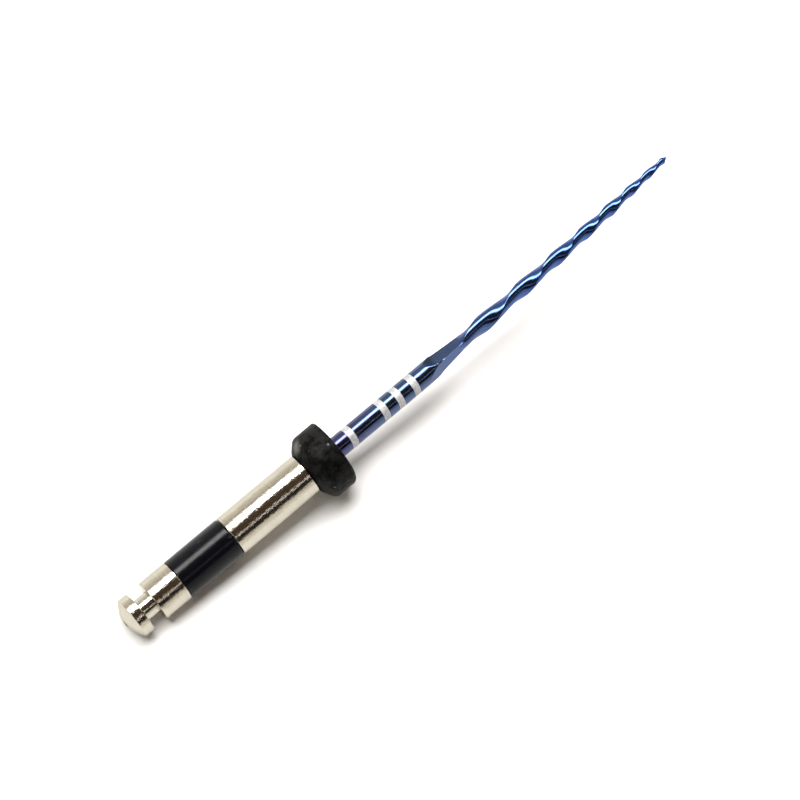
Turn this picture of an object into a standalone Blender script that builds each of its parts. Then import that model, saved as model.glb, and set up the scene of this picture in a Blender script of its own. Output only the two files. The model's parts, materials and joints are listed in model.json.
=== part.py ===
"""Latch-type engine endodontic file with a sliding silicone stop, in four separate pieces.

Every piece is drawn in the file's own frame, an empty called file_axis: X runs along the file towards
its tip and X = 0 is the front face of the shank. The empty is tipped up so that the file lies on the
plane Z = 0 as a loose one does, on the lower edges of its stop and of the lip that the D-flat leaves
behind the colour ring. The world origin is on that plane, under the middle of the file.

Pieces: latch_shank (turned metal handle), color_ring (plastic), file_blade (tang, plain shaft, flutes
and tip ground from one wire) and silicone_stop, which slides along the plain shaft.
"""

import math

import bmesh
import bpy
from mathutils import Vector

MM = 0.001

# Shank, ISO 1797 type 1. Lengths follow one another from the domed end to the front face.
SHANK_D = 2.35 * MM
NECK_D = 1.30 * MM
DOME_LENGTH = 0.43 * MM
BUTTON_LENGTH = 0.57 * MM
GROOVE_LENGTH = 0.82 * MM
LAND_LENGTH = 1.69 * MM
RING_LENGTH = 3.57 * MM
BARREL_LENGTH = 5.11 * MM
DIMPLE_D = 0.40 * MM
DIMPLE_DEPTH = 0.12 * MM
D_FLAT_HEIGHT = 1.895 * MM
D_FLAT_LIP = 0.10 * MM
EDGE_BREAK = 0.05 * MM
FRONT_EDGE_BREAK = 0.09 * MM

# Colour ring, in a recess turned in the shank.
RING_D = 2.34 * MM
RING_SEAT_D = 1.70 * MM
RING_EDGE_BREAK = 0.05 * MM

# Blade. Its ground and its twisted lengths are both taken back from the tip.
BLADE_LENGTH = 25.0 * MM
SHAFT_D = 1.20 * MM
TANG_LENGTH = 4.5 * MM
TANG_CHAMFER = 0.12 * MM
GROUND_LENGTH = 17.1 * MM
TWISTED_LENGTH = 14.5 * MM
TIP_D = 0.34 * MM
TIP_CONE_LENGTH = 0.27 * MM
FRONT_TAPER = 0.081
FRONT_TAPER_LENGTH = 4.0 * MM
BACK_TAPER = 0.031
NECK_DOWN_LENGTH = 2.44 * MM
FLUTE_DEPTH = 0.29
FLUTE_SKEW = 1.53
HALF_PITCH_AT_TIP = 0.97 * MM
HALF_PITCH_GROWTH = 0.1525
EDGE_ANGLE_AT_TIP = math.radians(-30.25)
BOW = 0.65 * MM

# Two pairs of flats ground where the plain shaft runs out. They meet in the cutting edges, and the
# flutes take over from them where the twist starts. Each pair has the angle of its normal from the
# edge, how far after the start of the ground length it begins, and how soon it gets to its depth.
# From there the flats go on deeper at an even slope. Depths are shares of the blade's radius.
FLAT_DEPTH = 0.244
FLAT_SLOPE = 0.066 / MM
FLATS = (
    (math.radians(-49.0), 0.2 * MM, 0.8 * MM),
    (math.radians(48.5), 0.06 * MM, 1.03 * MM),
)
TAKE_OVER_LENGTH = 0.83 * MM

# Silicone stop, at rest against the shank's front face.
STOP_D = 3.80 * MM
STOP_BACK_D = 2.45 * MM
STOP_THICKNESS = 1.92 * MM
STOP_CONE_LENGTH = 0.62 * MM
STOP_EDGE_BREAK = 0.14 * MM

# Gap that each piece keeps to the one it is fitted to.
FIT_GAP = 0.02 * MM

# Fineness of the meshes.
SIDES = 48
ARC_STEPS = 2
DOME_STEPS = 5
SECTION_POINTS = 20
RUN_OUT_STATIONS = 16
STATIONS_PER_HALF_TURN = 12
TIP_STATIONS = 4

# Derived places along X.
RING_FRONT = -BARREL_LENGTH
RING_BACK = RING_FRONT - RING_LENGTH
SHOULDER = RING_BACK - LAND_LENGTH
BUTTON_FRONT = SHOULDER - GROOVE_LENGTH
BUTTON_BACK = BUTTON_FRONT - BUTTON_LENGTH
SHANK_END = BUTTON_BACK - DOME_LENGTH
BORE_D = SHAFT_D + 2 * FIT_GAP
BORE_DEPTH = TANG_LENGTH + FIT_GAP
GROUND_START = BLADE_LENGTH - GROUND_LENGTH
TWIST_START = BLADE_LENGTH - TWISTED_LENGTH


def clear_scene():
    for obj in list(bpy.data.objects):
        bpy.data.objects.remove(obj, do_unlink=True)


def material(name, color, roughness, metallic):
    made = bpy.data.materials.new(name)
    made.use_nodes = True
    shader = made.node_tree.nodes["Principled BSDF"]
    shader.inputs["Base Color"].default_value = (*color, 1.0)
    shader.inputs["Roughness"].default_value = roughness
    shader.inputs["Metallic"].default_value = metallic
    return made


def add_object(name, bm, made_of, parent):
    """Closes a bmesh into a named, smooth-shaded object of one material under the file's axis."""
    bmesh.ops.recalc_face_normals(bm, faces=bm.faces)
    mesh = bpy.data.meshes.new(name)
    bm.to_mesh(mesh)
    bm.free()
    mesh.shade_smooth()
    mesh.set_sharp_from_angle(angle=math.radians(35))
    mesh.materials.append(made_of)
    obj = bpy.data.objects.new(name, mesh)
    bpy.context.scene.collection.objects.link(obj)
    obj.parent = parent
    return obj


def corner_arc(before, corner, after, radius):
    """Points of the arc that breaks one corner of a profile."""
    here = Vector(corner)
    back = (Vector(before) - here).normalized()
    ahead = (Vector(after) - here).normalized()
    half = back.angle(ahead) / 2
    centre = here + (back + ahead).normalized() * radius / math.sin(half)
    first = here + back * radius / math.tan(half) - centre
    last = here + ahead * radius / math.tan(half) - centre
    sweep = math.pi - 2 * half
    points = []
    for step in range(ARC_STEPS + 1):
        turned = sweep * step / ARC_STEPS
        mixed = first * math.sin(sweep - turned) + last * math.sin(turned)
        points.append(tuple(centre + mixed / math.sin(sweep)))
    return points


def broken(profile, closed):
    """A profile of (x, radius, edge break) points with its corners rounded, as (x, radius) points."""
    points = []
    for i, (x, r, edge) in enumerate(profile):
        at_end = not closed and i in (0, len(profile) - 1)
        if edge == 0 or at_end:
            points.append((x, r))
            continue
        before = profile[i - 1][:2]
        after = profile[(i + 1) % len(profile)][:2]
        points += corner_arc(before, (x, r), after, edge)
    return points


def turned(profile, closed):
    """A bmesh turned about X. A closed profile makes a ring, an open one runs from axis to axis."""
    bm = bmesh.new()
    half_side = math.pi / SIDES
    down = Vector((0, math.sin(half_side), -math.cos(half_side)))
    points = broken(profile, closed)
    verts = [bm.verts.new((x, r * down.y, r * down.z)) for x, r in points]
    pairs = list(zip(verts, verts[1:]))
    if closed:
        pairs.append((verts[-1], verts[0]))
    edges = [bm.edges.new(pair) for pair in pairs]
    bmesh.ops.spin(
        bm,
        geom=verts + edges,
        cent=(0, 0, 0),
        axis=(1, 0, 0),
        angle=2 * math.pi,
        steps=SIDES,
        use_merge=True,
    )
    bmesh.ops.remove_doubles(bm, verts=bm.verts, dist=1e-7)
    return bm


def dome_profile():
    """The domed end: a cone-bottomed centre dimple in a spherical cap."""
    base = SHANK_D / 2
    sphere = (base**2 + DOME_LENGTH**2) / (2 * DOME_LENGTH)
    centre = SHANK_END + sphere
    first = math.asin(DIMPLE_D / 2 / sphere)
    last = math.asin(base / sphere)
    points = [(SHANK_END + DIMPLE_DEPTH, 0, 0)]
    for step in range(DOME_STEPS):
        angle = first + (last - first) * step / DOME_STEPS
        points.append((centre - sphere * math.cos(angle), sphere * math.sin(angle), 0))
    return points


def shank_profile():
    radius, neck, seat, bore = SHANK_D / 2, NECK_D / 2, RING_SEAT_D / 2, BORE_D / 2
    return dome_profile() + [
        (BUTTON_BACK, radius, EDGE_BREAK),
        (BUTTON_FRONT, radius, EDGE_BREAK),
        (BUTTON_FRONT, neck, 0),
        (SHOULDER, neck, 0),
        (SHOULDER, radius, EDGE_BREAK),
        (RING_BACK, radius, 0),
        (RING_BACK, seat, 0),
        (RING_FRONT, seat, 0),
        (RING_FRONT, radius, 0),
        (0, radius, FRONT_EDGE_BREAK),
        (0, bore, EDGE_BREAK),
        (-BORE_DEPTH, bore, 0),
        (-BORE_DEPTH - bore / 2, 0, 0),
    ]


def add_shank(axis):
    nickel = material("nickel_plated_brass", (0.76, 0.72, 0.65), 0.22, 1.0)
    shank = add_object("latch_shank", turned(shank_profile(), closed=False), nickel, axis)

    # The latch end is D-shaped: a flat on the underside of the button and of the land behind a thin lip.
    bm = bmesh.new()
    bmesh.ops.create_cube(bm, size=1.0)
    cutter = add_object("d_flat_cutter", bm, nickel, axis)
    flat_z = SHANK_D / 2 - D_FLAT_HEIGHT
    back, front = SHANK_END - SHANK_D, RING_BACK - D_FLAT_LIP
    for vert in cutter.data.vertices:
        vert.co.x = back + (vert.co.x + 0.5) * (front - back)
        vert.co.y = vert.co.y * 2 * SHANK_D
        vert.co.z = flat_z + (vert.co.z - 0.5) * SHANK_D
    cutter.hide_render = True
    cutter.display_type = "WIRE"
    cut = shank.modifiers.new("d_flat", "BOOLEAN")
    cut.operation = "DIFFERENCE"
    cut.object = cutter


def add_color_ring(axis):
    plastic = material("black_plastic", (0.020, 0.021, 0.030), 0.38, 0.0)
    inner, outer = RING_SEAT_D / 2 + FIT_GAP, RING_D / 2
    back, front = RING_BACK + FIT_GAP, RING_FRONT - FIT_GAP
    profile = [
        (back, inner, 0),
        (back, outer, RING_EDGE_BREAK),
        (front, outer, RING_EDGE_BREAK),
        (front, inner, 0),
    ]
    add_object("color_ring", turned(profile, closed=True), plastic, axis)


def smooth_step(value):
    value = min(max(value, 0.0), 1.0)
    return value * value * (3 - 2 * value)


def blade_radius(x):
    """Radius of the blade's envelope: shaft, neck-down, two tapers and tip cone."""
    from_tip = BLADE_LENGTH - x
    front = FRONT_TAPER / 2 * min(from_tip, FRONT_TAPER_LENGTH)
    back = BACK_TAPER / 2 * max(from_tip - FRONT_TAPER_LENGTH, 0)
    tapered = (TIP_D / 2 + front + back) * min(from_tip / TIP_CONE_LENGTH, 1)
    necked = smooth_step((x - GROUND_START) / NECK_DOWN_LENGTH)
    return SHAFT_D / 2 * (1 - necked) + tapered * necked


def edge_angle(x):
    """Angle of one cutting edge about X from +Y. The pitch grows evenly away from the tip."""
    from_tip = BLADE_LENGTH - max(x, TWIST_START)
    grown = math.log(1 + HALF_PITCH_GROWTH * from_tip / HALF_PITCH_AT_TIP)
    return EDGE_ANGLE_AT_TIP + math.pi * grown / HALF_PITCH_GROWTH


def flat_reach(x, angle):
    """Share of the radius that the flats leave, at an angle from the cutting edge."""
    reach = 1.0
    for normal, delay, rise in FLATS:
        into = max(x - GROUND_START - delay, 0)
        depth = FLAT_DEPTH * smooth_step(into / rise) + FLAT_SLOPE * into
        reach = min(reach, (1 - depth) / max(abs(math.cos(angle - normal)), 0.1))
    return reach


def flute_reach(x, angle):
    """Share of the radius that the flutes leave, at an angle from the cutting edge."""
    share = (angle % math.pi) / math.pi
    deepest = FLUTE_DEPTH * smooth_step((BLADE_LENGTH - x) / TIP_CONE_LENGTH)
    return 1 - deepest * math.sin(math.pi * share**FLUTE_SKEW)


def blade_section(x):
    """Points of the section at x: round, then four-sided, then a lens with an edge at each side."""
    radius, turn = blade_radius(x), edge_angle(x)
    fluted = smooth_step((x - TWIST_START) / TAKE_OVER_LENGTH + 0.5)
    along = max(x - GROUND_START, 0) / GROUND_LENGTH
    bowed = BOW * along * (2 + along**2) / 3
    points = []
    for i in range(SECTION_POINTS):
        angle = 2 * math.pi * i / SECTION_POINTS
        r = radius * (flat_reach(x, angle) * (1 - fluted) + flute_reach(x, angle) * fluted)
        points.append((x, r * math.cos(angle + turn) + bowed, r * math.sin(angle + turn)))
    return points


def blade_stations():
    """Places of the blade's sections: even steps in the run-out, even steps of twist after it."""
    stations = [-TANG_LENGTH + TANG_CHAMFER, 0]
    for step in range(RUN_OUT_STATIONS):
        stations.append(GROUND_START + (TWIST_START - GROUND_START) * step / RUN_OUT_STATIONS)
    half_turns = (edge_angle(TWIST_START) - edge_angle(BLADE_LENGTH)) / math.pi
    steps = round(half_turns * STATIONS_PER_HALF_TURN)
    for step in range(steps):
        grown = HALF_PITCH_GROWTH * half_turns * (1 - step / steps)
        from_tip = (math.exp(grown) - 1) * HALF_PITCH_AT_TIP / HALF_PITCH_GROWTH
        if from_tip > TIP_CONE_LENGTH * 1.1:
            stations.append(BLADE_LENGTH - from_tip)
    for step in range(TIP_STATIONS):
        stations.append(BLADE_LENGTH - TIP_CONE_LENGTH * (1 - step / TIP_STATIONS))
    return stations


def add_blade(axis):
    blued = material("heat_blued_nickel_titanium", (0.10, 0.19, 0.42), 0.28, 1.0)
    bm = bmesh.new()
    end = [(-TANG_LENGTH, y * 0.8, z * 0.8) for _, y, z in blade_section(-TANG_LENGTH)]
    loops = [[bm.verts.new(point) for point in end]]
    for x in blade_stations():
        loops.append([bm.verts.new(point) for point in blade_section(x)])
    bm.faces.new(loops[0])
    for before, after in zip(loops, loops[1:]):
        for i in range(SECTION_POINTS):
            j = (i + 1) % SECTION_POINTS
            bm.faces.new((before[i], before[j], after[j], after[i]))
    tip = bm.verts.new((BLADE_LENGTH, BOW, 0))
    for i in range(SECTION_POINTS):
        bm.faces.new((loops[-1][i], loops[-1][(i + 1) % SECTION_POINTS], tip))
    add_object("file_blade", bm, blued, axis)


def add_stop(axis):
    silicone = material("black_silicone", (0.022, 0.022, 0.023), 0.72, 0.0)
    bore, radius = SHAFT_D / 2 + FIT_GAP, STOP_D / 2
    profile = [
        (0, bore, 0),
        (0, STOP_BACK_D / 2, STOP_EDGE_BREAK),
        (STOP_CONE_LENGTH, radius, STOP_EDGE_BREAK),
        (STOP_THICKNESS, radius, STOP_EDGE_BREAK),
        (STOP_THICKNESS, bore, STOP_EDGE_BREAK / 2),
    ]
    stop = add_object("silicone_stop", turned(profile, closed=True), silicone, axis)
    stop.location.x = FIT_GAP


def place_on_ground(axis):
    """Tips the file about Y until the lip behind the ring and the stop's widest part touch Z = 0."""
    facet = math.cos(math.pi / SIDES)
    lip = Vector((RING_BACK - D_FLAT_LIP, 0, -SHANK_D / 2 * facet))
    turn_in = STOP_EDGE_BREAK * math.tan(math.atan((STOP_D - STOP_BACK_D) / 2 / STOP_CONE_LENGTH) / 2)
    stop = Vector((FIT_GAP + STOP_CONE_LENGTH + turn_in, 0, -STOP_D / 2 * facet))
    tilt = math.atan2(lip.z - stop.z, stop.x - lip.x)
    axis.rotation_euler.y = -tilt
    turn = axis.rotation_euler.to_matrix()
    middle = (turn @ Vector((BLADE_LENGTH, 0, 0)) + turn @ Vector((SHANK_END, 0, 0))) / 2
    axis.location = (-middle.x, 0, -(turn @ lip).z)


def build():
    clear_scene()
    axis = bpy.data.objects.new("file_axis", None)
    bpy.context.scene.collection.objects.link(axis)
    add_shank(axis)
    add_color_ring(axis)
    add_blade(axis)
    add_stop(axis)
    place_on_ground(axis)


build()
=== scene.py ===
"""Looks of the endodontic file: fine meshes and materials for its pieces, floor, light and camera.

The pieces are drawn in the file's own frame, X along the file to the tip and X = 0 at the shank's
front face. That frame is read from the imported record, so each piece lies where its CAD solid does.
"""

import json
import math

import bmesh
import bpy
from mathutils import Matrix, Vector, noise


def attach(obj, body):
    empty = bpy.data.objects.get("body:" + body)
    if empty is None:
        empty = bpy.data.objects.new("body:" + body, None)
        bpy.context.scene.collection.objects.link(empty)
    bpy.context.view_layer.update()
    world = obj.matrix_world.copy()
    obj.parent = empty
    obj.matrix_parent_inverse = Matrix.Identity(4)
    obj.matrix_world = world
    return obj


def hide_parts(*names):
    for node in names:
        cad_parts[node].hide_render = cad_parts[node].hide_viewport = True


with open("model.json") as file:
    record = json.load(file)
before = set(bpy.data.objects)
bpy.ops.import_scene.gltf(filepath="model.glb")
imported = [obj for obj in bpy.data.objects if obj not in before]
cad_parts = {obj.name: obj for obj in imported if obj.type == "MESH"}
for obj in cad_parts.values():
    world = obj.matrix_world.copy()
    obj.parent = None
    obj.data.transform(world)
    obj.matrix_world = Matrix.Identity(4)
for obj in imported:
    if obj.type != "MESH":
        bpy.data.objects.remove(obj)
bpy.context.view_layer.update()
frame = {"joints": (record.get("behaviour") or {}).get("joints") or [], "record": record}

MM = 0.001

# Shank: the same driving dimensions as the CAD model.
SHANK_D = 2.35 * MM
NECK_D = 1.30 * MM
DOME_LENGTH = 0.43 * MM
BUTTON_LENGTH = 0.57 * MM
GROOVE_LENGTH = 0.82 * MM
LAND_LENGTH = 1.69 * MM
RING_LENGTH = 3.57 * MM
BARREL_LENGTH = 5.11 * MM
DIMPLE_D = 0.40 * MM
DIMPLE_DEPTH = 0.12 * MM
D_FLAT_HEIGHT = 1.895 * MM
D_FLAT_LIP = 0.10 * MM
EDGE_BREAK = 0.05 * MM
FRONT_EDGE_BREAK = 0.09 * MM
RING_D = 2.34 * MM
RING_SEAT_D = 1.70 * MM
RING_EDGE_BREAK = 0.06 * MM

# Blade. A flat is (its normal's angle from the cutting edge, its delay, the length of its rise).
BLADE_LENGTH = 25.0 * MM
SHAFT_D = 1.20 * MM
TANG_LENGTH = 4.5 * MM
GROUND_LENGTH = 17.1 * MM
TWISTED_LENGTH = 14.5 * MM
TIP_D = 0.34 * MM
TIP_CONE_LENGTH = 0.27 * MM
FRONT_TAPER = 0.081
FRONT_TAPER_LENGTH = 4.0 * MM
BACK_TAPER = 0.031
NECK_DOWN_LENGTH = 2.44 * MM
FLUTE_DEPTH = 0.29
FLUTE_SKEW = 1.53
HALF_PITCH_AT_TIP = 0.97 * MM
HALF_PITCH_GROWTH = 0.1525
EDGE_ANGLE_AT_TIP = math.radians(-30.25)
BOW = 0.65 * MM
FLAT_DEPTH = 0.244
FLAT_SLOPE = 0.066 / MM
FLATS = (
    (math.radians(-49.0), 0.2 * MM, 0.8 * MM),
    (math.radians(48.5), 0.06 * MM, 1.03 * MM),
)
LEAST_FLAT_COSINE = 0.1
TAKE_OVER_LENGTH = 0.83 * MM
BAND_DISTANCES = (17.9 * MM, 18.94 * MM, 19.94 * MM, 22.1 * MM)
BAND_WIDTH = 0.38 * MM
BAND_DEPTH = 0.004 * MM
BAND_LEAN = 0.20

# Stop. Its rims are cut and worn unevenly: most on the side near the camera and on the far side.
STOP_D = 3.80 * MM
STOP_BACK_D = 2.45 * MM
STOP_THICKNESS = 1.92 * MM
STOP_CONE_LENGTH = 0.62 * MM
STOP_OFF_CENTRE = 0.09 * MM
STOP_NEAR_ANGLE = math.radians(190)
STOP_FAR_ANGLE = math.radians(35)
STOP_RIM_BREAK = 0.10 * MM
STOP_BORE_BREAK = 0.05 * MM
NEAR_FRONT_WEAR = 0.20 * MM
NEAR_BACK_WEAR = 0.22 * MM
FAR_BACK_WEAR = 0.45 * MM
NEAR_CONE_LOSS = 0.30
FAR_CONE_LOSS = 0.16
NEAR_FRONT_DIP = 0.05 * MM
WOBBLE_SCALE = 1.4
WOBBLE_OF_RADIUS = 0.008
WOBBLE_OF_DIP = 0.6
WOBBLE_PLACE_OF_RADIUS = Vector((0, 0, 3))
WOBBLE_PLACE_OF_DIP = Vector((5, 0, 0))
FIT_GAP = 0.02 * MM

# Fineness.
SIDES = 160
ARC_STEPS = 5
DOME_STEPS = 20
SECTION_POINTS = 120
RUN_OUT_STATIONS = 80
STATIONS_PER_HALF_TURN = 44
TIP_STATIONS = 12
CLEAR_OF_TIP_CONE = 1.02
SHARP_ANGLE = math.radians(32)

# Derived places along X.
RING_FRONT = -BARREL_LENGTH
RING_BACK = RING_FRONT - RING_LENGTH
SHOULDER = RING_BACK - LAND_LENGTH
BUTTON_FRONT = SHOULDER - GROOVE_LENGTH
BUTTON_BACK = BUTTON_FRONT - BUTTON_LENGTH
SHANK_END = BUTTON_BACK - DOME_LENGTH
BORE_D = SHAFT_D + 2 * FIT_GAP
BORE_DEPTH = TANG_LENGTH + FIT_GAP
GROUND_START = BLADE_LENGTH - GROUND_LENGTH
TWIST_START = BLADE_LENGTH - TWISTED_LENGTH

# Materials. Colours are linear. A pair is the two ends of a mottle or a blend, and a SPAN is the
# range of a noise that is spread over such a pair.
NOISE_SPAN = 0.3, 0.7
NICKEL = (0.44, 0.415, 0.350, 1), (0.52, 0.492, 0.420, 1)
# Painted shade: the colour that darkens the dome's centre dimple.
NICKEL_DIMPLE_SHADE = (0.022, 0.018, 0.013, 1)
NICKEL_RIM_TINT = (0.76, 0.74, 0.70, 1)
NICKEL_ROUGHNESS = 0.08, 0.13
# How far the painted shade in the dome's centre dimple reaches from the dome's tip.
DIMPLE_SHADE_REACH = DIMPLE_D * 0.66, DIMPLE_D * 0.50
RING_BLACK = (0.0012, 0.0012, 0.0024, 1), (0.0024, 0.0024, 0.0044, 1)
RING_WORN = (0.045, 0.045, 0.052, 1)
RING_WORN_SPAN = 0.60, 0.72
RING_WORN_SHARE = 0.5
RING_ROUGHNESS = 0.15, 0.22
RING_SPECULAR = 0.16
BLADE_VIOLET = (0.063, 0.058, 0.139, 1), (0.058, 0.070, 0.150, 1)
BLADE_STEEL = (0.054, 0.080, 0.158, 1), (0.074, 0.108, 0.200, 1)
BLADE_DEEP = (0.037, 0.076, 0.225, 1), (0.055, 0.100, 0.285, 1)
VIOLET_TO_STEEL = 2.0 * MM, 5.5 * MM
STEEL_TO_DEEP = 6.0 * MM, 18.0 * MM
BLADE_ROUGHNESS = 0.13, 0.20
BAND_METAL = (0.30, 0.305, 0.32, 1), (0.45, 0.455, 0.465, 1)
BAND_PIT_SPAN = 0.36, 0.60
BAND_METALLIC = 0.25
BAND_ROUGHNESS = 0.45
SILICONE = (0.0004, 0.0004, 0.0005, 1), (0.0032, 0.0032, 0.0032, 1)
SILICONE_ROUGHNESS = 0.42, 0.60
SILICONE_SPECULAR = 0.03, 0.13
SPECULAR_SPAN = 0.38, 0.62
# A painted highlight on the stop cone's upper side, facing the lights: its colour, centre, reach and
# ragged edge.
PAINTED_HIGHLIGHT_COLOR = (0.100, 0.097, 0.086, 1)
PAINTED_HIGHLIGHT_PLACE = (0.38 * MM, 1.10 * MM, 1.15 * MM)
PAINTED_HIGHLIGHT_REACH = 0.75 * MM, 0.35 * MM
PAINTED_HIGHLIGHT_RAGGEDNESS = 0.5 * MM
DUST_COLOR = (0.095, 0.092, 0.088, 1)
DUST_SIZE = 0.14, 0.06
DUST_CELLS = 1500.0
DUSTY_SPAN = 0.52, 0.58
FLOOR_WHITE = (0.80, 0.798, 0.792, 1), (0.83, 0.828, 0.822, 1)
FLOOR_ROUGHNESS = 0.75

# Floor and room. Angles are in degrees, across the file, up from +Y over the top.
FLOOR_SIZE = 3.0
ROOM_STRENGTH = 1.33
ROOM_HORIZON = (0.97, 0.93, 0.84, 1)
ROOM_HIGH = (0.70, 0.66, 0.58, 1)
ROOM_ENDS = (0.28, 0.25, 0.21, 1)
HORIZON_TO_HIGH = 0.0, 0.5
SIDES_TO_ENDS = 0.25, 0.6
CEILING = (0.075, 0.050, 0.033, 1)
CEILING_DARKEST = (0.030, 0.022, 0.020, 1)
CEILING_ANGLE = 96.5
CEILING_EDGE = 60, 57
DARKEST_ANGLE = 145
DARKEST_EDGE = 35, 20

# Softboxes: name, angle, lean towards +X, distance, length, width, radiance, colour, and the kind
# of ray that doesn't see it. The key lights what is matte, and polished metal shows the window.
KEY_LIGHT = (1.0, 0.995, 0.99)
WINDOW_LIGHT = (1.0, 0.985, 0.96)
WARM_LIGHT = (1.0, 0.97, 0.92)
SOFTBOXES = (
    ("key", 71, 5, 2.00, 2.50, 1.175, 9.2, KEY_LIGHT, "visible_glossy"),
    ("window", 64.5, 5, 0.40, 0.50, 0.140, 15.3, WINDOW_LIGHT, "visible_diffuse"),
    ("window_top", 76.5, 5, 0.40, 0.50, 0.020, 3.3, WINDOW_LIGHT, None),
    ("window_sill", 49, 5, 0.40, 0.50, 0.080, 1.6, WINDOW_LIGHT, None),
    ("slit", 124, 5, 0.40, 0.40, 0.014, 4.2, WARM_LIGHT, None),
    ("far_end", 92, -52, 0.50, 0.20, 0.20, 3.3, WARM_LIGHT, "visible_diffuse"),
    ("far_end", 92, 52, 0.50, 0.20, 0.20, 3.3, WARM_LIGHT, "visible_diffuse"),
)

# Camera.
VIEW_AZIMUTH = math.radians(-40.18)
VIEW_ELEVATION = math.radians(72.143)
VIEW_DISTANCE = 0.8
VIEW_LENS = 697.88
VIEW_SENSOR = 36
VIEW_CLIP = 0.01, 10
VIEW_CENTRE_X = 6.4 * MM
VIEW_SHIFT = Vector((-0.036 * MM, -0.283 * MM, 0))


def file_frame():
    """The file's own frame, from the slide joint's axis and the D-flat's mount on the land."""
    along = Vector(frame["joints"][0]["axis"]).normalized()
    side = Vector((0, 1, 0))
    up = along.cross(side)
    mount_x = (SHOULDER + RING_BACK - D_FLAT_LIP) / 2
    mount_z = SHANK_D / 2 - D_FLAT_HEIGHT
    origin = Vector(frame["record"]["mounts"][0]["pos_m"]) - along * mount_x - up * mount_z
    matrix = Matrix((along, side, up)).transposed().to_4x4()
    matrix.translation = origin
    return matrix


FILE = file_frame()


# ---------------------------------------------------------------- node helpers


class Nodes:
    """A short way to write a material's or a world's nodes."""

    def __init__(self, tree):
        self.tree = tree
        tree.nodes.clear()

    def fill(self, socket, value):
        if isinstance(value, bpy.types.NodeSocket):
            self.tree.links.new(value, socket)
        else:
            socket.default_value = value

    def add(self, kind, inputs=None, **settings):
        node = self.tree.nodes.new(kind)
        for name, value in settings.items():
            setattr(node, name, value)
        for name, value in (inputs or {}).items():
            self.fill(node.inputs[name], value)
        return node

    def math(self, operation, first, second=0.0):
        return self.add("ShaderNodeMath", {0: first, 1: second}, operation=operation).outputs[0]

    def between(self, operation, first, second):
        """A number from two vectors, such as their distance."""
        node = self.add("ShaderNodeVectorMath", {0: first, 1: second}, operation=operation)
        return node.outputs["Value"]

    def ramp(self, value, low, high, to_low=0.0, to_high=1.0):
        """Value from low to high, eased into to_low to to_high."""
        inputs = {"Value": value, "From Min": low, "From Max": high}
        inputs |= {"To Min": to_low, "To Max": to_high}
        node = self.add("ShaderNodeMapRange", inputs, interpolation_type="SMOOTHSTEP")
        return node.outputs["Result"]

    def mix(self, share, first, second):
        """Colour between first and second. The node has sockets 6 and 7 for its two colours."""
        node = self.add("ShaderNodeMix", data_type="RGBA")
        self.fill(node.inputs[0], share)
        self.fill(node.inputs[6], first)
        self.fill(node.inputs[7], second)
        return node.outputs[2]

    def noise(self, vector, scale, detail=2.0, roughness=0.5):
        """Noise with a scale in cells per metre."""
        inputs = {"Vector": vector, "Scale": scale, "Detail": detail, "Roughness": roughness}
        return self.add("ShaderNodeTexNoise", inputs).outputs["Fac"]

    def streaks(self, vector, scales, detail, roughness=0.5):
        """Noise with a scale of its own along each axis, in cells per metre."""
        stretched = self.add("ShaderNodeMapping", {"Vector": vector, "Scale": scales})
        return self.noise(stretched.outputs["Vector"], 1, detail, roughness)

    def bump(self, height, distance, strength=1.0, under=None):
        inputs = {"Height": height, "Distance": distance, "Strength": strength}
        if under is not None:
            inputs["Normal"] = under
        return self.add("ShaderNodeBump", inputs).outputs["Normal"]


def new_material(name):
    made = bpy.data.materials.new(name)
    made.use_nodes = True
    nodes = Nodes(made.node_tree)
    place = nodes.add("ShaderNodeTexCoord").outputs["Object"]
    return made, nodes, place


def finish_material(nodes, inputs):
    shader = nodes.add("ShaderNodeBsdfPrincipled", inputs)
    nodes.add("ShaderNodeOutputMaterial", {"Surface": shader.outputs[0]})


# ------------------------------------------------------------------- materials


def nickel_material():
    """Nickel plating on turned brass: a soft warm mirror with orange peel and turning lines.

    Painted shade darkens the centre dimple in the dome.
    """
    made, nodes, place = new_material("nickel_plating")
    cloud = nodes.noise(place, scale=900, detail=4)
    fine = nodes.noise(place, scale=5200, detail=5, roughness=0.6)
    lines = nodes.streaks(place, (26000, 900, 900), detail=3)
    halves = (nodes.math("MULTIPLY", part, 0.5) for part in (cloud, lines))
    clean = nodes.mix(nodes.ramp(nodes.math("ADD", *halves), *NOISE_SPAN), *NICKEL)
    # Painted shade: the nickel's colour darkens into the dome's centre dimple.
    dimple_shade = nodes.ramp(nodes.between("DISTANCE", place, (SHANK_END, 0, 0)), *DIMPLE_SHADE_REACH)
    peel = nodes.bump(fine, distance=0.020 * MM, strength=0.75)
    looks = {
        "Base Color": nodes.mix(dimple_shade, clean, NICKEL_DIMPLE_SHADE),
        "Metallic": 1.0,
        "Roughness": nodes.ramp(nodes.noise(place, 2600, 3), *NOISE_SPAN, *NICKEL_ROUGHNESS),
        "Normal": nodes.bump(lines, distance=0.0028 * MM, strength=0.6, under=peel),
        "Specular Tint": NICKEL_RIM_TINT,
    }
    finish_material(nodes, looks)
    return made


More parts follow.
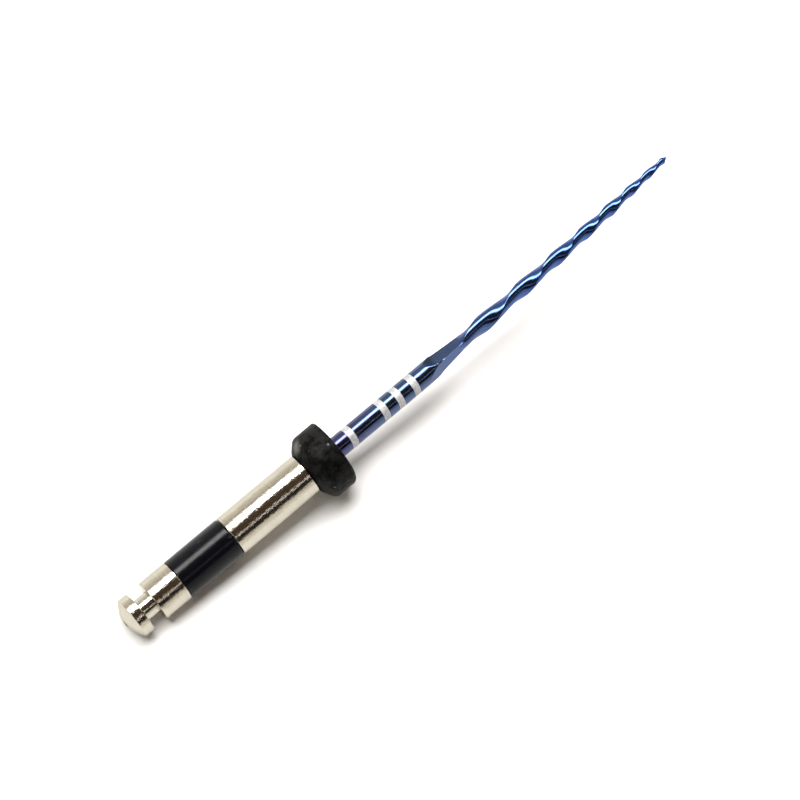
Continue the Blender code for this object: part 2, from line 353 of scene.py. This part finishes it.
def ring_material():
    """Moulded black plastic with a blue cast, faint scuffs and a mould grain."""
    made, nodes, place = new_material("ring_plastic")
    black = nodes.mix(nodes.noise(place, scale=1300, detail=4), *RING_BLACK)
    streaks = nodes.streaks(place, (900, 2600, 2600), detail=5, roughness=0.65)
    scuffs = nodes.math("MULTIPLY", nodes.ramp(streaks, *RING_WORN_SPAN), RING_WORN_SHARE)
    grain = nodes.noise(place, scale=14000, detail=3)
    looks = {
        "Base Color": nodes.mix(scuffs, black, RING_WORN),
        "Roughness": nodes.ramp(nodes.noise(place, 3400, 3), *NOISE_SPAN, *RING_ROUGHNESS),
        "Normal": nodes.bump(grain, distance=0.003 * MM, strength=0.6),
        "Specular IOR Level": RING_SPECULAR,
    }
    finish_material(nodes, looks)
    return made


def blade_material():
    """Heat-blued nickel-titanium: violet by the stop, deep blue to the tip, with grinding lines."""
    made, nodes, place = new_material("blued_niti")
    along = nodes.add("ShaderNodeSeparateXYZ", {0: place}).outputs["X"]
    cloud = nodes.noise(place, scale=1100, detail=4, roughness=0.6)
    lines = nodes.streaks(place, (42000, 2200, 2200), detail=3)
    violet, steel, deep = (nodes.mix(cloud, *c) for c in (BLADE_VIOLET, BLADE_STEEL, BLADE_DEEP))
    plain = nodes.mix(nodes.ramp(along, *VIOLET_TO_STEEL), violet, steel)
    looks = {
        "Base Color": nodes.mix(nodes.ramp(along, *STEEL_TO_DEEP), plain, deep),
        "Metallic": 1.0,
        "Roughness": nodes.ramp(nodes.noise(place, 3000, 3), *NOISE_SPAN, *BLADE_ROUGHNESS),
        "Normal": nodes.bump(lines, distance=0.0022 * MM, strength=0.7),
    }
    finish_material(nodes, looks)
    return made


def band_material():
    """Bare metal where a laser has taken the blue oxide off: pale, satin and slightly pitted."""
    made, nodes, place = new_material("laser_band")
    cloud = nodes.noise(place, scale=6500, detail=5, roughness=0.65)
    pits = nodes.ramp(cloud, *BAND_PIT_SPAN)
    looks = {
        "Base Color": nodes.mix(pits, *BAND_METAL),
        "Metallic": BAND_METALLIC,
        "Roughness": BAND_ROUGHNESS,
        "Normal": nodes.bump(pits, distance=0.008 * MM, strength=0.8),
    }
    finish_material(nodes, looks)
    return made


def silicone_material():
    """Matte black silicone rubber with mottle, a painted highlight on the lit upper side of its cone
    and clinging dust.
    """
    made, nodes, place = new_material("black_silicone")
    mottle = nodes.noise(place, scale=2200, detail=5, roughness=0.65)
    black = nodes.mix(mottle, *SILICONE)
    # Painted highlight: a lighter patch with a ragged edge on the cone's upper side, where the
    # lights fall.
    away = nodes.between("DISTANCE", place, PAINTED_HIGHLIGHT_PLACE)
    ragged = nodes.math("ADD", away, nodes.math("MULTIPLY", mottle, PAINTED_HIGHLIGHT_RAGGEDNESS))
    with_painted_highlight = nodes.mix(nodes.ramp(ragged, *PAINTED_HIGHLIGHT_REACH), black, PAINTED_HIGHLIGHT_COLOR)
    cells = nodes.add("ShaderNodeTexVoronoi", {"Vector": place, "Scale": DUST_CELLS})
    specks = nodes.ramp(cells.outputs["Distance"], *DUST_SIZE)
    dusty = nodes.ramp(nodes.noise(place, scale=1300, detail=1), *DUSTY_SPAN)
    lumps = nodes.bump(nodes.noise(place, scale=1500, detail=3), 0.10 * MM, strength=0.6)
    skin = nodes.noise(place, scale=5200, detail=4, roughness=0.6)
    looks = {
        "Base Color": nodes.mix(nodes.math("MULTIPLY", specks, dusty), with_painted_highlight, DUST_COLOR),
        "Roughness": nodes.ramp(mottle, *NOISE_SPAN, *SILICONE_ROUGHNESS),
        "Normal": nodes.bump(skin, distance=0.035 * MM, strength=0.8, under=lumps),
        "Specular IOR Level": nodes.ramp(mottle, *SPECULAR_SPAN, *SILICONE_SPECULAR),
    }
    finish_material(nodes, looks)
    return made


def floor_material():
    """Plain white board with a barely visible tooth."""
    made, nodes, place = new_material("white_board")
    tooth = nodes.noise(place, scale=2500, detail=3)
    looks = {
        "Base Color": nodes.mix(tooth, *FLOOR_WHITE),
        "Roughness": FLOOR_ROUGHNESS,
        "Normal": nodes.bump(tooth, distance=0.004 * MM, strength=0.5),
    }
    finish_material(nodes, looks)
    return made


# --------------------------------------------------------------- shape helpers


def smooth_step(value):
    value = min(max(value, 0.0), 1.0)
    return value * value * (3 - 2 * value)


def corner_arc(before, corner, after, radius):
    """Points of the arc that breaks one corner of a profile."""
    here = Vector(corner)
    back = (Vector(before) - here).normalized()
    ahead = (Vector(after) - here).normalized()
    half = back.angle(ahead) / 2
    centre = here + (back + ahead).normalized() * radius / math.sin(half)
    first = here + back * radius / math.tan(half) - centre
    last = here + ahead * radius / math.tan(half) - centre
    sweep = math.pi - 2 * half
    points = []
    for step in range(ARC_STEPS + 1):
        turned = sweep * step / ARC_STEPS
        mixed = first * math.sin(sweep - turned) + last * math.sin(turned)
        points.append(tuple(centre + mixed / math.sin(sweep)))
    return points


def broken(profile, closed):
    """A profile of (x, radius, edge break) with its corners rounded, as (x, radius) points."""
    points = []
    for i, (x, r, edge) in enumerate(profile):
        at_end = not closed and i in (0, len(profile) - 1)
        if edge == 0 or at_end:
            points.append((x, r))
            continue
        before = profile[i - 1][:2]
        after = profile[(i + 1) % len(profile)][:2]
        points += corner_arc(before, (x, r), after, edge)
    return points


def lathe(profile_at, closed):
    """A bmesh round X. profile_at(angle) gives the (x, radius) points of that side."""
    bm = bmesh.new()
    columns = []
    poles = {}
    for side in range(SIDES):
        angle = 2 * math.pi * side / SIDES
        column = []
        for i, (x, r) in enumerate(profile_at(angle)):
            if r > 0:
                column.append(bm.verts.new((x, r * math.cos(angle), r * math.sin(angle))))
            else:
                if i not in poles:
                    poles[i] = bm.verts.new((x, 0, 0))
                column.append(poles[i])
        columns.append(column)
    rows = len(columns[0])
    for side, column in enumerate(columns):
        beside = columns[(side + 1) % SIDES]
        for i in range(rows if closed else rows - 1):
            j = (i + 1) % rows
            corners = []
            for vert in (column[i], beside[i], beside[j], column[j]):
                if vert not in corners:
                    corners.append(vert)
            bm.faces.new(corners)
    return bm


def object_from(bm, name):
    """A linked object with the bmesh as its mesh, facing out."""
    bmesh.ops.recalc_face_normals(bm, faces=bm.faces)
    mesh = bpy.data.meshes.new(name)
    bm.to_mesh(mesh)
    bm.free()
    made = bpy.data.objects.new(name, mesh)
    bpy.context.scene.collection.objects.link(made)
    return made


def add_piece(name, bm, materials, body, node, flat_faces=True):
    """A finished mesh as a piece that stands for a CAD node."""
    piece = object_from(bm, name)
    piece.data.shade_smooth()
    piece.data.set_sharp_from_angle(angle=SHARP_ANGLE)
    for made in materials:
        piece.data.materials.append(made)
    piece.matrix_world = FILE
    if flat_faces:
        piece.modifiers.new("flat_faces_stay_flat", "WEIGHTED_NORMAL").keep_sharp = True
    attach(piece, body)
    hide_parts(node)


# ------------------------------------------------------------- shank and ring


def shank_profile():
    radius, neck, seat, bore = SHANK_D / 2, NECK_D / 2, RING_SEAT_D / 2, BORE_D / 2
    sphere = (radius**2 + DOME_LENGTH**2) / (2 * DOME_LENGTH)
    first = math.asin(DIMPLE_D / 2 / sphere)
    last = math.asin(radius / sphere)
    points = [(SHANK_END + DIMPLE_DEPTH, 0, 0)]
    for step in range(DOME_STEPS):
        angle = first + (last - first) * step / DOME_STEPS
        x = SHANK_END + sphere * (1 - math.cos(angle))
        points.append((x, sphere * math.sin(angle), 0))
    return points + [
        (BUTTON_BACK, radius, EDGE_BREAK),
        (BUTTON_FRONT, radius, EDGE_BREAK),
        (BUTTON_FRONT, neck, 0),
        (SHOULDER, neck, 0),
        (SHOULDER, radius, EDGE_BREAK),
        (RING_BACK, radius, EDGE_BREAK / 2),
        (RING_BACK, seat, 0),
        (RING_FRONT, seat, 0),
        (RING_FRONT, radius, EDGE_BREAK / 2),
        (0, radius, FRONT_EDGE_BREAK),
        (0, bore, EDGE_BREAK),
        (-BORE_DEPTH, bore, 0),
        (-BORE_DEPTH - bore / 2, 0, 0),
    ]


def d_flat_cutter():
    """A block under the D-flat's plane, from behind the shank's end to the lip beside the ring."""
    back, front = SHANK_END - SHANK_D, RING_BACK - D_FLAT_LIP
    flat_z = SHANK_D / 2 - D_FLAT_HEIGHT
    place = Matrix.Translation(((back + front) / 2, 0, flat_z - SHANK_D / 2))
    size = Matrix.Diagonal((front - back, 2 * SHANK_D, SHANK_D, 1))
    bm = bmesh.new()
    bmesh.ops.create_cube(bm, size=1.0, matrix=place @ size)
    return object_from(bm, "d_flat_cutter")


def add_shank(nickel):
    points = broken(shank_profile(), closed=False)
    blank = object_from(lathe(lambda angle: points, closed=False), "shank_blank")
    cutter = d_flat_cutter()
    cut = blank.modifiers.new("d_flat", "BOOLEAN")
    cut.operation = "DIFFERENCE"
    cut.object = cutter
    graph = bpy.context.evaluated_depsgraph_get()
    bm = bmesh.new()
    bm.from_object(blank, graph)
    for used in (blank, cutter):
        bpy.data.objects.remove(used, do_unlink=True)
    add_piece("shank_turned", bm, [nickel], "instrument", "latch_shank")


def add_ring(plastic):
    inner, outer = RING_SEAT_D / 2 + FIT_GAP, RING_D / 2
    back, front = RING_BACK + FIT_GAP, RING_FRONT - FIT_GAP
    profile = [
        (back, inner, 0),
        (back, outer, RING_EDGE_BREAK),
        (front, outer, 2 * RING_EDGE_BREAK),
        (front, inner, 0),
    ]
    points = broken(profile, closed=True)
    bm = lathe(lambda angle: points, closed=True)
    add_piece("color_ring_band", bm, [plastic], "instrument", "color_ring")


# ----------------------------------------------------------------------- blade


def blade_radius(x):
    """Radius of the blade's envelope: shaft, neck-down, two tapers and tip cone."""
    from_tip = BLADE_LENGTH - x
    front = FRONT_TAPER / 2 * min(from_tip, FRONT_TAPER_LENGTH)
    back = BACK_TAPER / 2 * max(from_tip - FRONT_TAPER_LENGTH, 0)
    tapered = (TIP_D / 2 + front + back) * min(from_tip / TIP_CONE_LENGTH, 1)
    necked = smooth_step((x - GROUND_START) / NECK_DOWN_LENGTH)
    return SHAFT_D / 2 * (1 - necked) + tapered * necked


def bow_at(x):
    """How far the blade is bowed towards +Y: a curve that tightens towards the tip."""
    along = max(x - GROUND_START, 0) / GROUND_LENGTH
    return BOW * along * (2 + along**2) / 3


def edge_angle(x):
    """Angle of one cutting edge about X from +Y. The pitch grows evenly away from the tip."""
    from_tip = BLADE_LENGTH - max(x, TWIST_START)
    grown = math.log(1 + HALF_PITCH_GROWTH * from_tip / HALF_PITCH_AT_TIP)
    return EDGE_ANGLE_AT_TIP + math.pi * grown / HALF_PITCH_GROWTH


def flat_reach(x, angle):
    """Share of the radius that the flats leave, at an angle from the cutting edge."""
    reach = 1.0
    for normal, delay, rise in FLATS:
        into = max(x - GROUND_START - delay, 0)
        depth = FLAT_DEPTH * smooth_step(into / rise) + FLAT_SLOPE * into
        reach = min(reach, (1 - depth) / max(abs(math.cos(angle - normal)), LEAST_FLAT_COSINE))
    return reach


def flute_reach(x, angle):
    """Share of the radius that the flutes leave, at an angle from the cutting edge."""
    share = (angle % math.pi) / math.pi
    deepest = FLUTE_DEPTH * smooth_step((BLADE_LENGTH - x) / TIP_CONE_LENGTH)
    return 1 - deepest * math.sin(math.pi * share**FLUTE_SKEW)


def blade_section(x, shrink, lean):
    """Points of the section at x: round, then four-sided, then a lens with an edge at each side."""
    radius, turn = blade_radius(x) - shrink, edge_angle(x)
    fluted = smooth_step((x - TWIST_START) / TAKE_OVER_LENGTH + 0.5)
    bowed = bow_at(x)
    points = []
    for i in range(SECTION_POINTS):
        angle = 2 * math.pi * i / SECTION_POINTS
        r = radius * (flat_reach(x, angle) * (1 - fluted) + flute_reach(x, angle) * fluted)
        y, z = r * math.cos(angle + turn), r * math.sin(angle + turn)
        points.append((x + lean * z, y + bowed, z))
    return points


def blade_stations():
    """(x, shrink, lean) of each section: plain shaft with its bands, run-out, twist, tip cone.

    Along the twist the sections stand at even steps of the cutting edge's angle.
    """
    stations = [(-TANG_LENGTH, 0, 0), (0, 0, 0)]
    for distance in sorted(BAND_DISTANCES, reverse=True):
        back = BLADE_LENGTH - distance - BAND_WIDTH / 2
        front = back + BAND_WIDTH
        stations += [(back - BAND_DEPTH, 0, BAND_LEAN), (back, BAND_DEPTH, BAND_LEAN)]
        stations += [(front, BAND_DEPTH, BAND_LEAN), (front + BAND_DEPTH, 0, BAND_LEAN)]
    for step in range(RUN_OUT_STATIONS):
        x = GROUND_START + (TWIST_START - GROUND_START) * step / RUN_OUT_STATIONS
        stations.append((x, 0, 0))
    half_turns = (edge_angle(TWIST_START) - edge_angle(BLADE_LENGTH)) / math.pi
    steps = round(half_turns * STATIONS_PER_HALF_TURN)
    for step in range(steps):
        grown = HALF_PITCH_GROWTH * half_turns * (1 - step / steps)
        from_tip = (math.exp(grown) - 1) * HALF_PITCH_AT_TIP / HALF_PITCH_GROWTH
        if from_tip > TIP_CONE_LENGTH * CLEAR_OF_TIP_CONE:
            stations.append((BLADE_LENGTH - from_tip, 0, 0))
    for step in range(TIP_STATIONS):
        stations.append((BLADE_LENGTH - TIP_CONE_LENGTH * (1 - step / TIP_STATIONS), 0, 0))
    return stations


def add_blade(blued, bare):
    bm = bmesh.new()
    stations = blade_stations()
    loops = [[bm.verts.new(point) for point in blade_section(*station)] for station in stations]
    bm.faces.new(loops[0])
    for k in range(len(loops) - 1):
        on_band = stations[k][1] > 0 and stations[k + 1][1] > 0
        for i in range(SECTION_POINTS):
            j = (i + 1) % SECTION_POINTS
            face = bm.faces.new((loops[k][i], loops[k][j], loops[k + 1][j], loops[k + 1][i]))
            face.material_index = 1 if on_band else 0
    tip = bm.verts.new((BLADE_LENGTH, BOW, 0))
    for i in range(SECTION_POINTS):
        bm.faces.new((loops[-1][i], loops[-1][(i + 1) % SECTION_POINTS], tip))
    add_piece("blade_ground", bm, [blued, bare], "instrument", "file_blade", False)


# ------------------------------------------------------------------------ stop


def stop_profile(angle):
    """The stop's (x, radius) points on one side: a hand-cut rubber disc, uneven round its rims."""
    wobble = Vector((math.cos(angle), math.sin(angle), 0)) * WOBBLE_SCALE
    near_side = max(0.0, math.cos(angle - STOP_NEAR_ANGLE)) ** 2
    far_side = max(0.0, math.cos(angle - STOP_FAR_ANGLE)) ** 2
    uneven = WOBBLE_OF_RADIUS * (noise.noise(wobble + WOBBLE_PLACE_OF_RADIUS) - 1)
    radius = STOP_D / 2 * (1 + uneven) - STOP_OFF_CENTRE * math.cos(angle)
    cone = STOP_CONE_LENGTH * (1 - NEAR_CONE_LOSS * near_side - FAR_CONE_LOSS * far_side)
    uneven = WOBBLE_OF_DIP * noise.noise(wobble + WOBBLE_PLACE_OF_DIP)
    front = STOP_THICKNESS - NEAR_FRONT_DIP * (1 + uneven) * near_side
    front_break = STOP_RIM_BREAK + NEAR_FRONT_WEAR * near_side
    back_break = STOP_RIM_BREAK + NEAR_BACK_WEAR * near_side + FAR_BACK_WEAR * far_side
    bore, back_radius = SHAFT_D / 2 + FIT_GAP, STOP_BACK_D / 2
    profile = [
        (FIT_GAP, bore, 0),
        (FIT_GAP, back_radius, back_break),
        (FIT_GAP + cone, radius, back_break),
        (FIT_GAP + front, radius, front_break),
        (FIT_GAP + front, bore, STOP_BORE_BREAK),
    ]
    return broken(profile, closed=True)


def add_stop(silicone):
    bm = lathe(stop_profile, closed=True)
    add_piece("stop_rubber", bm, [silicone], "stop", "silicone_stop")


# ------------------------------------------------------ floor, light and camera


def add_floor():
    bpy.ops.mesh.primitive_plane_add(size=FLOOR_SIZE)
    floor = bpy.context.object
    floor.name = "floor"
    floor.data.materials.append(floor_material())


def direction(angle, lean=0.0):
    """A direction across the file, angle up from +Y over the top, leaning towards +X."""
    angle, lean = math.radians(angle), math.radians(lean)
    flat = math.cos(lean)
    return Vector((math.sin(lean), flat * math.cos(angle), flat * math.sin(angle)))


def cone_share(nodes, towards, angle, edge):
    """How far a looked-at direction is in a cone round one across the file, with a soft edge."""
    cosine = nodes.between("DOT_PRODUCT", towards, tuple(direction(angle)))
    return nodes.ramp(cosine, *(math.cos(math.radians(limit)) for limit in edge))


def add_world():
    """A cream room, brightest at the horizon and darker at the file's two ends.

    Overhead is a dark brown ceiling, darkest over the far side.
    """
    world = bpy.data.worlds.new("studio")
    bpy.context.scene.world = world
    world.use_nodes = True
    nodes = Nodes(world.node_tree)
    towards = nodes.add("ShaderNodeTexCoord").outputs["Generated"]
    parts = nodes.add("ShaderNodeSeparateXYZ", {0: towards}).outputs
    sides = nodes.mix(nodes.ramp(parts["Z"], *HORIZON_TO_HIGH), ROOM_HORIZON, ROOM_HIGH)
    to_end = nodes.ramp(nodes.math("ABSOLUTE", parts["X"]), *SIDES_TO_ENDS)
    walls = nodes.mix(to_end, sides, ROOM_ENDS)
    darkest = cone_share(nodes, towards, DARKEST_ANGLE, DARKEST_EDGE)
    ceiling = nodes.mix(darkest, CEILING, CEILING_DARKEST)
    overhead = cone_share(nodes, towards, CEILING_ANGLE, CEILING_EDGE)
    inputs = {"Color": nodes.mix(overhead, walls, ceiling), "Strength": ROOM_STRENGTH}
    background = nodes.add("ShaderNodeBackground", inputs)
    nodes.add("ShaderNodeOutputWorld", {"Surface": background.outputs[0]})


def add_softbox(name, towards, distance, length, width, radiance, color):
    """A rectangular light facing the file, its length along X. Mirrors show its radiance."""
    data = bpy.data.lights.new(name, "AREA")
    data.shape = "RECTANGLE"
    data.size, data.size_y = length, width
    data.energy = radiance * math.pi * length * width
    data.color = color
    lamp = bpy.data.objects.new(name, data)
    bpy.context.scene.collection.objects.link(lamp)
    back = towards.normalized()
    along = (Vector((1, 0, 0)) - back * back.x).normalized()
    matrix = Matrix((along, back.cross(along), back)).transposed().to_4x4()
    matrix.translation = back * distance
    lamp.matrix_world = matrix
    return lamp


def add_lights():
    for name, angle, lean, *facts, unseen_by in SOFTBOXES:
        lamp = add_softbox(name, direction(angle, lean), *facts)
        if unseen_by:
            setattr(lamp, unseen_by, False)


def add_camera():
    data = bpy.data.cameras.new("camera")
    data.sensor_width = VIEW_SENSOR
    data.lens = VIEW_LENS
    data.clip_start, data.clip_end = VIEW_CLIP
    camera = bpy.data.objects.new("camera", data)
    bpy.context.scene.collection.objects.link(camera)
    tilt = math.pi / 2 - VIEW_ELEVATION
    turn = Matrix.Rotation(VIEW_AZIMUTH, 3, "Z") @ Matrix.Rotation(tilt, 3, "X")
    target = FILE @ Vector((VIEW_CENTRE_X, 0, 0)) + turn @ VIEW_SHIFT
    matrix = turn.to_4x4()
    matrix.translation = target + turn @ Vector((0, 0, VIEW_DISTANCE))
    camera.matrix_world = matrix
    bpy.context.scene.camera = camera


add_shank(nickel_material())
add_ring(ring_material())
add_blade(blade_material(), band_material())
add_stop(silicone_material())
add_floor()
add_world()
add_lights()
add_camera()
bpy.context.scene.view_settings.view_transform = "Standard"
